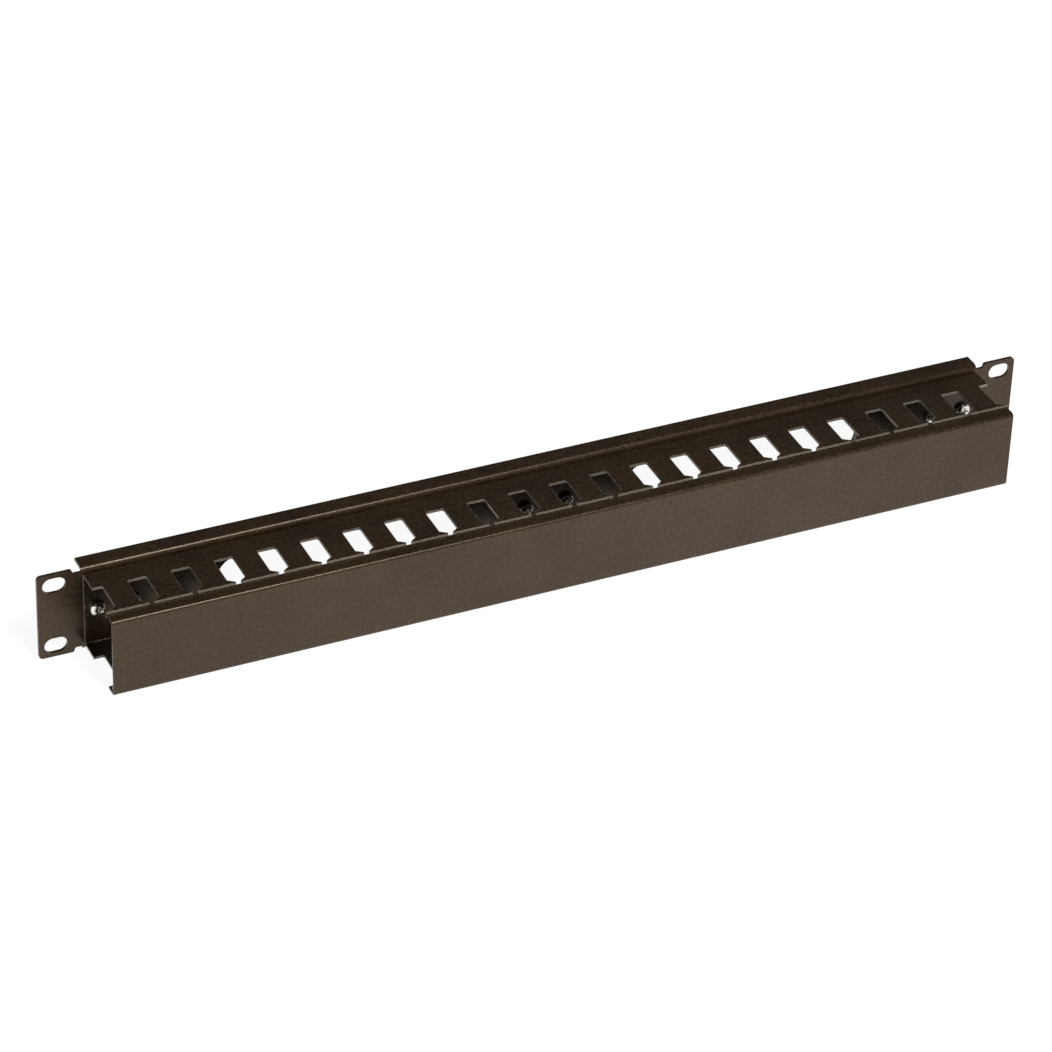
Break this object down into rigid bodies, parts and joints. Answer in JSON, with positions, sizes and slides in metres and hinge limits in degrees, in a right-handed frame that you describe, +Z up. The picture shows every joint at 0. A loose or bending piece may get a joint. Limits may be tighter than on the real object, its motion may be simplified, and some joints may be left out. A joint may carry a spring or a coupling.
{
  "type": "horizontal cable manager",
  "caption": "One-unit rack cable manager: folded panel with slotted ears, comb-sided channel with T-shaped fingers, rear cable windows and a push-on cover.",
  "frame": {"origin": "middle of the four rack slots, on the rear face of the ears, which bears on the rack's rails", "axes": "+X along the width, towards the right-hand end seen from the front; -Y out of the rack towards the user; +Z up"},
  "size_m": [0.4826, 0.0458, 0.0436],
  "materials": {
    "black_coat": "matte, fine-textured, warm brownish black powder coat",
    "zinc": "bright zinc plating"
  },
  "bodies": {
    "frame": {"back_panel": "black_coat", "comb_channel": "black_coat", "screw_1": "zinc", "screw_2": "zinc", "screw_3": "zinc", "screw_4": "zinc", "screw_5": "zinc", "screw_6": "zinc", "nut_1": "zinc", "nut_2": "zinc", "nut_3": "zinc", "nut_4": "zinc", "nut_5": "zinc", "nut_6": "zinc"},
    "cover": {"cover": "black_coat"}
  },
  "joints": [
    {"name": "cover_pull", "type": "slide", "parent": "frame", "child": "cover", "axis": [0, -1, 0], "range_m": [0, 0.06]}
  ]
}
